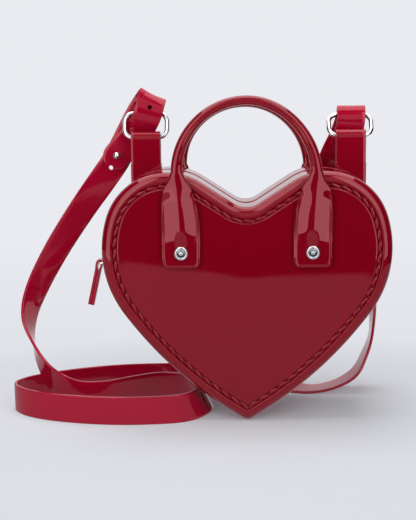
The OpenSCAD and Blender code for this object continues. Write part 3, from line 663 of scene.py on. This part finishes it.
def handleForm(sag):
    # tab: x = a sin(t), y = b (1 - |sin t|^p)^(1/p), squared off below and round at the leg; above the rivet
    # its front slopes away by |x/a|^slopePower to both sides; arch: an oval section turned about its centre
    h = handle
    rise = np.concatenate([[0, 0.08, 0.2, 0.4, 0.65, 0.95, 1.3, 1.7, 2.1, 2.6, 3.2], np.arange(4, 61.6, 0.9), [61.5]])
    width = np.interp(rise, tabRows[:, 0], tabRows[:, 1])
    soft = np.convolve(np.pad(width, 4, mode="edge"), np.array([1, 2, 3, 4, 5, 4, 3, 2, 1]) / 25, "valid")
    width = np.where(rise > 8, soft, width)
    f = ease((rise - h["roundFrom"]) / h["roundOver"])
    a = np.maximum(h["tabWidth"] / 2 * width, h["legThick"] / 2)
    sloped = ease((rise - h["slopeFrom"]) / h["slopeOver"])
    grown = (h["legDeep"] - h["tabThick"] - h["plump"]) * ease((rise - h["fullFrom"]) / h["fullOver"])
    full = (h["tabThick"] + h["plump"] * sloped + grown) / 2
    least = 2 / h["squarePower"]
    power = (2 / (least + (1 - least) * f))[:, None]
    lowerRound = quarterRise(rise / h["edgeRound"]) * 0.999 + 0.001
    t = np.linspace(-math.pi / 2, math.pi / 2, 61)
    s = np.sin(t)
    x = a[:, None] * s
    y = (full * lowerRound)[:, None] * np.power(np.clip(1 - np.abs(s)[None] ** power, 0, 1), 1 / power)
    drop = h["slopeDrop"] * sloped * (1 - ease((rise - h["slopeEnd"]) / h["slopeFade"])) / (2 * full + 0.1)
    fall = 2 * y * drop[:, None] * np.abs(s)[None] ** h["slopePower"]
    slope = np.gradient(a, rise)[:, None]
    edgeGap = np.minimum((a[:, None] - np.abs(x)) / np.sqrt(1 + slope ** 2), rise[:, None])
    ridge = h["lineHeight"] * np.exp(-((edgeGap - h["lineIn"]) / h["lineWidth"]) ** 2)
    raised = ridge * ease((h["lineEnd"] - rise) / h["lineFade"])[:, None]
    middle = (h["tabX"] + (h["archRadius"] - h["tabX"]) * ease((rise - h["moveFrom"]) / h["moveOver"]))[:, None] + x
    z = np.broadcast_to(h["tabZ"] + rise[:, None], x.shape)
    fore = np.stack([middle, -(handleBack + full[:, None] + y - fall + raised), z], -1)
    aft = np.stack([middle, -(handleBack + full[:, None] - y), z], -1)
    right = np.concatenate([fore, aft[:, -2:0:-1]], 1)
    turn = np.linspace(0, math.pi, 91)
    k = np.sin(turn)
    thick = h["legThick"] + (h["gripThick"] - h["legThick"]) * k
    sideways = np.concatenate([s, s[-2:0:-1]])
    outwards = np.concatenate([np.cos(t), -np.cos(t)[-2:0:-1]])
    radius = h["archRadius"] + thick[:, None] / 2 * sideways[None]
    deep = (h["legDeep"] + (h["legThick"] - h["legDeep"]) * ease(k / h["deepBy"]))[:, None]
    y = (h["lean"] * ease(k))[:, None] - handleBack - deep / 2 * (1 + outwards[None])
    sway = (h["sway"] * np.clip(np.sin(2 * turn), 0, 1))[:, None]         # the right side stands in a little
    arch = np.stack([radius * np.cos(turn)[:, None] - sway, y, h["archZ"] + (radius - sag) * k[:, None]], -1)
    left = (right * [-1, 1, 1])[::-1]
    return skin(np.concatenate([right, arch, left]))


addPair("Handle", [handleForm(handle["frontSag"])], [handleForm(handle["backSag"])],
        shellRed, "_handle", sharp=60)
print("handles made")

rivet = dict(cap=9.2, up=10.0, insideY=27.8, washer=11.0, above=0.05)
# (radius, depth): the post with its inner head, then the cap's rim and dish, in from its edge, and its button
postProfile = [(0.02, 26.8), (2.7, 26.8), (2.9, 27.0), (2.9, 27.6), (2.0, 27.7)]
dishProfile = [(0.15, -0.05), (0, 0.15), (0, 0.75), (0.12, 1.05), (0.45, 1.45), (0.8, 1.72), (1.15, 1.8), (1.5, 1.7),
               (1.75, 1.4), (1.95, 0.85), (2.1, 0.7)]
buttonProfile = [(1.55, 0.62), (1.45, 0.7), (1.35, 1.1), (1.15, 1.35), (0.8, 1.52), (0.4, 1.6), (0.02, 1.62)]
capY = handleBack + handle["tabThick"] + rivet["above"]
rivetProfile = (postProfile + [(2.0, capY - rivet["above"])]
                + [(rivet["cap"] / 2 - i, capY + y) for i, y in dishProfile]
                + [(r, capY + y) for r, y in buttonProfile])
washerIn, washerOut = 2.1, rivet["washer"] / 2
washerProfile = [(washerIn, 0.1), (washerIn + 0.1, 0), (washerOut - 0.2, 0), (washerOut, 0.2), (washerOut, 0.8),
                 (washerOut - 0.2, 1), (washerIn + 0.1, 1), (washerIn, 0.9)]


def atRivets(grid, closeRows=False):
    up = handle["tabZ"] + rivet["up"]
    return [skin(stoodAlong(grid, (s * handle["tabX"], 0, up), (0, -1, 0)), closeRows) for s in (-1, 1)]


rivets = atRivets(turned(rivetProfile, 64))
washers = atRivets(turned(washerProfile) + [0, 0, rivet["insideY"]], closeRows=True)
addPair("Rivets", rivets, rivets, chrome, "_rivets")
addPair("Washers", washers, washers, chrome, "_washers")
print("rivets made")


def loopLine(halfWidth, height, bend, count=14):
    # closed line in the (across, up) plane, standing on its lower bar
    q = np.linspace(0, math.pi / 2, count)
    c = bend * np.stack([np.cos(q), np.sin(q)], 1)
    side, top = halfWidth - bend, height - bend
    return np.concatenate([c + [side, top], (c * [-1, 1])[::-1] + [-side, top],
                           -c + [-side, bend], (c * [1, -1])[::-1] + [side, bend]])


def wireLoop(path, radius, sides=24):
    # circle of the wire carried round a closed flat line; columns run round the wire
    away = -quarterTurned(unit(np.roll(path, -1, 0) - np.roll(path, 1, 0)))
    a = fullTurn(sides)
    flat = path[:, None] + radius * np.cos(a)[None, :, None] * away[:, None]
    return np.stack([flat[..., 0], np.broadcast_to(radius * np.sin(a), flat.shape[:2]), flat[..., 1]], -1)


ring = dict(width=32.0, height=19.8, wire=3.2, bend=6.0, leftLean=15, rightLean=35)


def ringForm(x, lean):
    wire = ring["wire"]
    p = wireLoop(loopLine((ring["width"] - wire) / 2, ring["height"] - wire, ring["bend"]), wire / 2)
    c, s = cosSin(lean)
    points = np.stack([p[..., 0] + x, p[..., 1] * c + p[..., 2] * s + fittings["y"],
                       p[..., 2] * c - p[..., 1] * s + fittings["barZ"]], -1)
    return skin(points, closeRows=True)


for side in ("left", "right"):
    form = ringForm(fittings[side + "X"], ring[side + "Lean"])
    addPiece(side + "Ring", [form], side + "_ring_group", chrome, side + "_ring")


def foldedStrip(way, width, thick, edge):
    # a strip's section carried along a flat line of (depth, height) points; both its sizes can change
    out = quarterTurned(unit(np.gradient(way, axis=0)))
    s = bandSection(width.max(), thick.max(), edge)
    x = s[None, :, 0] * (width / width.max())[:, None]
    flat = way[:, None] + s[None, :, 1:] * (thick / thick.max())[:, None, None] * out[:, None]
    return np.concatenate([x[..., None], flat], -1)


def lugForm(x):
    # up the front ply, round a half circle and down the back ply; a hair wider below its seam line
    mid = (lug["gap"] + lug["thick"]) / 2
    seam = lug["seamZ"]
    z = np.concatenate([np.linspace(lug["foot"], seam - 0.5, 10), seam + np.array([-0.1, 0.05, 0.3]),
                        np.linspace(seam + 1, fittings["barZ"], 12)])
    q = np.linspace(0, math.pi, 25)[1:-1]
    way = np.concatenate([np.stack([np.full(len(z), -mid), z], 1),
                          np.stack([-mid * np.cos(q), fittings["barZ"] + mid * np.sin(q)], 1),
                          np.stack([np.full(len(z), mid), z[::-1]], 1)])
    width = np.where(way[:, 1] < seam, lug["lowerWidth"], lug["width"])
    return skin(foldedStrip(way, width, np.full(len(way), lug["thick"]), 0.45) + [x, fittings["y"], 0])


def lugPinForm(x):
    # post with a middle collar and a flat head at each end
    r, deep = lug["pin"] / 2, lugDeep / 2 + bag["clear"]
    upper = [(3, 1.85), (r, 1.85), (r, deep), (3.6, deep), (3.6, deep + 0.7), (3.3, deep + 1), (0.02, deep + 1)]
    profile = np.concatenate([np.multiply(upper, [1, -1])[::-1], upper])
    return skin(stoodAlong(turned(profile, 32), (x, fittings["y"], lug["foot"] + lug["pinUp"]), (0, 1, 0)))


for side in ("left", "right"):
    x = fittings[side + "X"]
    addPiece(side + "Lug", [lugForm(x)], "back", lugRed, side + "_lug")
    addPiece(side + "LugPin", [lugPinForm(x)], "back", chrome, side + "_lug_pin")
print("rings and their tabs made")

zipper = dict(endAngle=16.0, tapeIn=2.7, tapeThick=0.8, tapeY=2.4, tapeReach=4.2, toothIn=1.6, toothDeep=2.2,
              toothPitch=2.3, stopLong=2.0, stopHalf=1.36, stopBelow=2.2, sliderAngle=9.0, sliderLong=9.0,
              sliderHalf=2.7, sliderPlate=1.1, sliderGap=2.71, crown=3.0, bailWire=1.4, bailOut=3.0, pullLong=32.0,
              pullTop=2.4, pullWide=7.0, pullPly=1.45, pullPlyBelow=2.1, pullPinch=6, pullLean=13.0)


def heartBand(lineAt, section):
    # a closed section of (inset, depth) points carried along a line that is drawn in by each inset
    return skin(np.stack([upright(lineAt(d), y) for d, y in section], 1))


def roundedBand(low, high, edge, count=3):
    # rounded rectangle between two (inset, depth) corners, with extra points along its long sides
    size = np.subtract(high, low)
    s = bandSection(size[1], size[0], edge, count, 5)
    return np.stack([s[:, 1], s[:, 0]], 1) + np.add(low, high) / 2


def tapeForm(side):
    z = zipper
    low, high = (z["tapeIn"], z["tapeY"]), (z["tapeIn"] + z["tapeThick"], z["tapeY"] + z["tapeReach"])
    return heartBand(zipOutline, roundedBand(low, high, 0.3) * [1, side])


def toothForm(shift, side):
    # each tooth: rounded eight sided rings from the tape to a bulging head that passes the seam's middle
    q = fullTurn(8) + math.pi / 8
    rings = np.array([(2.3, 0.42, 0.9), (2.2, 0.5, 1.05), (1.2, 0.5, 1.05), (0.7, 0.42, 0.95), (0.2, 0.62, 1.0),
                      (-0.25, 0.58, 0.9), (-0.4, 0.35, 0.6)])
    one = np.stack([rings[:, 1:2] * squared(np.cos(q), 0.6), rings[:, 2:] * squared(np.sin(q), 0.6),
                    np.broadcast_to(rings[:, :1] * side, (len(rings), 8))], -1)
    line = zipOutline(zipper["toothIn"] + zipper["toothDeep"] / 2, 3)
    return strewn(one, stations(line, zipper["toothPitch"], shift))


def atFlank(grid, side, angle):
    # local (inward, depth, along) points set where the flank's arc stands at an angle below its centre
    c, s = cosSin(angle)
    x, y, z = grid[..., 0] - heart["flankRadius"], grid[..., 1], grid[..., 2]
    across, height = x * c - z * s, x * s + z * c
    return np.stack([side * (hv["flank"][0] - across), y, hv["flank"][1] + height], -1)


def roundPlate(halfWide, halfLong, low, high, edge, power=3.2, count=28):
    # plate between two heights: superellipse outline |y/a|^p + |z/b|^p = 1 with rounded rims
    q = fullTurn(count)
    y, z = squared(np.cos(q), 2 / power), squared(np.sin(q), 2 / power)
    quarter = np.linspace(0, math.pi / 2, 4)
    rows = [(low + edge * (1 - math.cos(t)), edge * (1 - math.sin(t))) for t in quarter]
    rows += [(high - edge * (1 - math.sin(t)), edge * (1 - math.cos(t))) for t in quarter]
    return np.array([np.stack([np.full(count, h), y * (halfWide - s), z * (halfLong - s)], 1) for h, s in rows])


def sliderForms():
    # plates over and under the teeth, the post between them, and an arched crown for the bail
    z = zipper
    underIn = z["toothIn"] + z["sliderGap"]
    over, under = (roundPlate(z["sliderHalf"], z["sliderLong"] / 2, low, low + z["sliderPlate"], 0.4)
                   for low in (0.0, underIn))
    post = roundPlate(0.3, z["sliderLong"] / 4, 0.6, underIn + 0.4, 0.05, power=2.6)
    q = np.linspace(0, math.pi, 21)
    way = np.stack([0.3 - (z["crown"] + 0.1) * np.sin(q) ** 0.8, -z["sliderLong"] * 0.29 * np.cos(q)], 1)
    out = quarterTurned(unit(np.gradient(way, axis=0)))
    s = bandSection(2.1, 0.75, 0.25, 3, 1)
    crown = np.stack([way[:, None, 0] + s[:, 1] * out[:, None, 0], np.broadcast_to(s[:, 0], (21, len(s))),
                      way[:, None, 1] + s[:, 1] * out[:, None, 1]], -1)
    return [skin(atFlank(form, -1, z["sliderAngle"])) for form in (over, under, post, crown)]


def bailForm():
    z = zipper
    p = wireLoop(loopLine((z["pullWide"] + 2.6) / 2, z["bailOut"] + z["bailWire"], 1.0, 8), z["bailWire"] / 2, 16)
    stood = np.stack([-z["crown"] / 2 - p[..., 2], p[..., 0], p[..., 1]], -1)
    return skin(atFlank(stood, -1, z["sliderAngle"]), closeRows=True)


def pullForm():
    # one strip folded round the bail's outer bar, its two plies drawn together below
    z = zipper
    r = z["bailWire"] / 2 + bag["clear"] + z["pullPly"] / 2
    reach = z["pullLong"] - z["pullTop"]
    down = np.concatenate([np.linspace(0, 5, 6)[1:], np.linspace(7, reach, 10)])
    pinched = ease((down - 1) / z["pullPinch"])
    ply = z["pullPly"] + (z["pullPlyBelow"] - z["pullPly"]) * pinched
    gap = r - (r - ply / 2 - 0.03) * pinched
    q = np.linspace(0, math.pi, 17)
    way = np.concatenate([np.stack([-gap, -down], 1)[::-1], np.stack([-r * np.cos(q), r * np.sin(q)], 1),
                          np.stack([gap, -down], 1)])
    toEnd = reach - np.abs(np.concatenate([down[::-1], np.zeros(17), down]))
    width = z["pullWide"] - 1.6 * (1 - quarterRise(toEnd / 2))
    ply = np.concatenate([ply[::-1], np.full(17, z["pullPly"]), ply])
    strip = foldedStrip(way, width, ply, 0.4)
    c, s = cosSin(z["pullLean"])
    x, up = strip[..., 1] * c + strip[..., 2] * s, -strip[..., 1] * s + strip[..., 2] * c
    bar = atFlank(np.array([-z["crown"] / 2 - z["bailOut"] - z["bailWire"], 0, 0]), -1, z["sliderAngle"])
    return skin(np.stack([bar[0] + x, strip[..., 0], bar[2] + up], -1))


def stopForms():
    z = zipper
    inward = z["toothIn"] + z["toothDeep"] / 2
    plate = roundPlate(z["tapeY"], z["stopLong"] / 2, inward - z["stopHalf"], inward + z["stopHalf"], 0.35, power=5)
    return [skin(atFlank(plate, side, z["endAngle"] + z["stopBelow"])) for side in (-1, 1)]


for side, way, shift in (("front", -1, 0.0), ("back", 1, 0.5)):
    addPiece(side + "ZipTape", [tapeForm(way)], side, tapeRed, side + "_zip_tape")
    addPiece(side + "ZipTeeth", [toothForm(shift, way)], side, toothRed, side + "_zip_teeth")
addPiece("zipStops", stopForms(), "back", chrome, "zip_stops")
addPiece("zipSlider", sliderForms(), "slider", chrome, "zip_slider")
addPiece("zipBail", [bailForm()], "slider", chrome, "zip_bail")
addPiece("zipPull", [pullForm()], "pull", strapRed, "zip_pull")
print("zip made")

web = dict(inset=3.0, thick=0.8, reach=8.0, bulge=0.4, bulgeHalf=3.4, startBelow=5.0, linkUp=9.0, linkHalf=2.7)


def gussetLine(d):
    a = -math.radians(zipper["endAngle"] + web["startBelow"])
    start = hv["flank"] + (heart["flankRadius"] - d) * np.array([[math.cos(a), math.sin(a)]])
    h = np.concatenate([start, heartLower(d, 2)])
    return np.concatenate([h, mirrored(h)])


def gussetSection():
    # thin web: flat behind each shell's edge, bulging out by half a cosine in the seam
    y = np.linspace(-web["reach"], web["reach"], 25)
    inset = web["inset"] - web["bulge"] * 0.5 * (1 + np.cos(math.pi * np.clip(y / web["bulgeHalf"], -1, 1)))
    return np.concatenate([np.stack([inset, y], 1), np.stack([inset + web["thick"], y], 1)[::-1]])


def linkLine(d):
    h = heartLower(d, 6)
    h = h[h[:, 1] < web["linkUp"]]
    run = travelled(h)
    h = atTravel(np.linspace(0, run[-1], 40), run, h)
    return np.concatenate([h, mirrored(h)])


gusset = addPiece("lowerGusset", [heartBand(gussetLine, gussetSection())], None, tapeRed, "lower_gusset")
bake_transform(gusset)
linkSection = roundedBand((0.05, -web["linkHalf"]), (bag["wall"], web["linkHalf"]), 0.5)
addPiece("tipLink", [heartBand(linkLine, linkSection)], "back", shellRed, "tip_hinge")
print("gusset made")

# metres from here on
# the reflected floor colours are painted light: a painted pool of light near the bag on painted dark further off in
# front; the camera's glow is painted shade, darker towards the front
room = dict(halfWide=9.0, nearEdge=-6.0, sweepFrom=1.6, sweep=0.8, wallTop=4.0, floorTone=(0.715, 0.738, 0.778),
            pale=(0.823, 0.831, 0.871), nearPale=(0.708, 0.730, 0.783), paleFrom=-0.2, paleOver=0.95,
            nearShare=0.12, farFrom=0.1, farOver=0.30, farRound=0.02, dim=(0.03, 0.03, 0.034),
            paintedPoolTone=(0.42, 0.41, 0.43), dark=(0.012, 0.012, 0.014), paintedPoolReach=0.60, paintedPoolSkew=0.32, softness=24.0,
            behindSkew=0.5, behindSoftness=8.0)


def addLight(name, place, aim, size, radiance, reflected=True, lights=True):
    # a rectangle of even brightness, its power radiance times pi times its area; it can leave out its
    # reflection or its light
    data = bpy.data.lights.new(name, "AREA")
    data.shape, data.size, data.size_y = "RECTANGLE", size[0], size[1]
    data.energy = radiance * math.pi * size[0] * size[1]
    lamp = addObject(name, data)
    lamp.location = place
    lamp.rotation_euler = (Vector(aim) - Vector(place)).to_track_quat("-Z", "Y").to_euler()
    lamp.visible_camera, lamp.visible_glossy, lamp.visible_diffuse = False, reflected, lights


def addRoom():
    # floor that sweeps up into a backdrop; the camera sees it as a pale glow, with painted shade darker towards the
    # front, and with the bag's soft shadow near the bag; reflections see painted light: a painted pool of light near
    # the bag, pale behind it, and painted dark further off in front
    start, sweep = room["sweepFrom"], room["sweep"]
    q = np.linspace(0.1, math.pi / 2, 12)
    y = np.concatenate([np.linspace(room["nearEdge"], start, 12), start + sweep * np.sin(q), [start + sweep]])
    z = np.concatenate([np.zeros(12), sweep - sweep * np.cos(q), [room["wallTop"]]])
    p = np.stack([np.stack([np.full(len(y), s * room["halfWide"]), y, z], 1) for s in (1, -1)])
    floor = addObject("floor", meshFrom("floor", p.reshape(-1, 3), [gridFaces(2, len(y))]))
    floor.data.shade_smooth()
    f = Finish("paleFloor")
    seen, mirror = (f.node("ShaderNodeLightPath", out=ray) for ray in ("Is Camera Ray", "Is Glossy Ray"))
    x, y = (f.node("ShaderNodeSeparateXYZ", None, {0: f.place()}, out=i) for i in (0, 1))
    away = (x * x + y * y).root()
    # painted pool of light seen only in reflections: bright near the bag, painted dark further off in front
    paintedPool = ((room["paintedPoolReach"] - x * room["paintedPoolSkew"] - away) * room["softness"] + 0.5).clamped()
    behind = ((y - x.calc("ABSOLUTE", x) * room["behindSkew"]) * room["behindSoftness"] + 0.5).clamped()
    tone = f.mix(behind, f.mix(paintedPool, room["dark"], room["paintedPoolTone"]), room["pale"])
    plain = f.node("ShaderNodeBsdfDiffuse", None, {"Color": room["floorTone"]})
    # painted shade: the camera's glow is darker towards the front and paler further back
    toFar = ((y - room["paleFrom"]) * (1 / room["paleOver"])).clamped()
    glow = f.node("ShaderNodeEmission", None, {"Color": f.mix(toFar, room["nearPale"], room["pale"])})
    around = ((away - room["farRound"]) * (1 / room["farOver"])).clamped()
    even = (((y - room["farFrom"]) * (1 / room["farOver"])).clamped() + around).clamped()
    shade = f.node("ShaderNodeMixShader", None, {0: seen * (room["nearShare"] + (1 - room["nearShare"]) * even),
                                                 1: plain, 2: glow})
    # reflections see this painted glow instead of a lit floor
    reflected = f.node("ShaderNodeEmission", None, {"Color": tone})
    floor.data.materials.append(f.end(f.node("ShaderNodeMixShader", None, {0: mirror, 1: shade, 2: reflected})))
    scene.world = bpy.data.worlds.new("world")
    scene.world.use_nodes = True
    w = Finish(tree=scene.world.node_tree)
    sky = w.mix(w.node("ShaderNodeLightPath", out="Is Camera Ray"), room["dim"], room["nearPale"])
    w.end(w.node("ShaderNodeBackground", None, {"Color": sky}), "ShaderNodeOutputWorld")


addRoom()
addLight("overhead", (0.0, 0.25, 1.25), (0, 0.25, 0), (1.6, 1.5), 2.05, lights=False)
addLight("key", (-0.03, 0.10, 1.25), (-0.03, 0.10, 0), (0.75, 0.75), 7.0, reflected=False)
addLight("leftSoft", (-0.38, -0.49, 0.5), (0, 0, 0.5), (0.42, 1.0), 1.75)
addLight("rightSoft", (0.36, -0.513, 0.5), (0, 0, 0.5), (0.36, 1.0), 1.75)
addLight("frontFill", (-0.02, -0.56, 0.42), (-0.02, 0, 0.42), (0.8, 0.5), 0.5)
scene.view_settings.view_transform = "Standard"
print("room and lights made")
